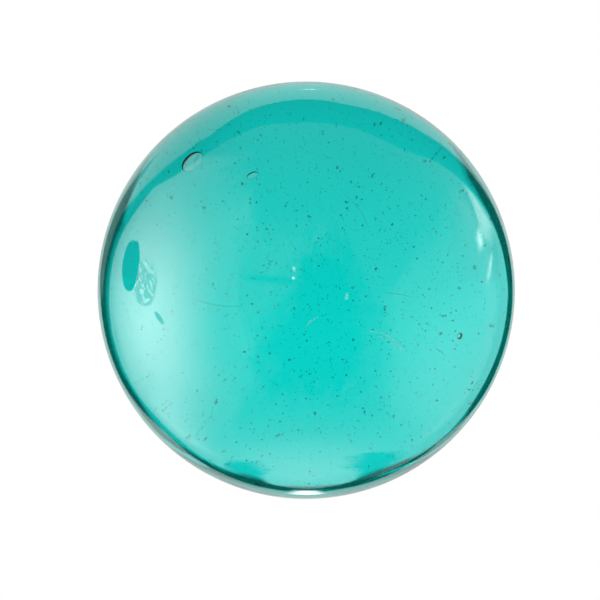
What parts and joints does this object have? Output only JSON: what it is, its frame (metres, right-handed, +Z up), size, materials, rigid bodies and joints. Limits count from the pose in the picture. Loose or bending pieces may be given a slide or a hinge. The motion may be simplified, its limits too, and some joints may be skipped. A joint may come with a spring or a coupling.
{
  "type": "glass ball",
  "caption": "Solid turquoise glass ball with seeds and bubbles in it, standing on a small flat, with a ground mark and a rough scar on its front left.",
  "frame": {"origin": "middle of the flat that the ball stands on", "axes": "+Z up through the ball's centre, -Y towards the front, where the marks are on the left"},
  "size_m": [0.06, 0.06, 0.0597],
  "materials": {
    "turquoise_glass": "clear, fire polished"
  },
  "bodies": {
    "root": {"glass_ball": "turquoise_glass"}
  },
  "joints": []
}
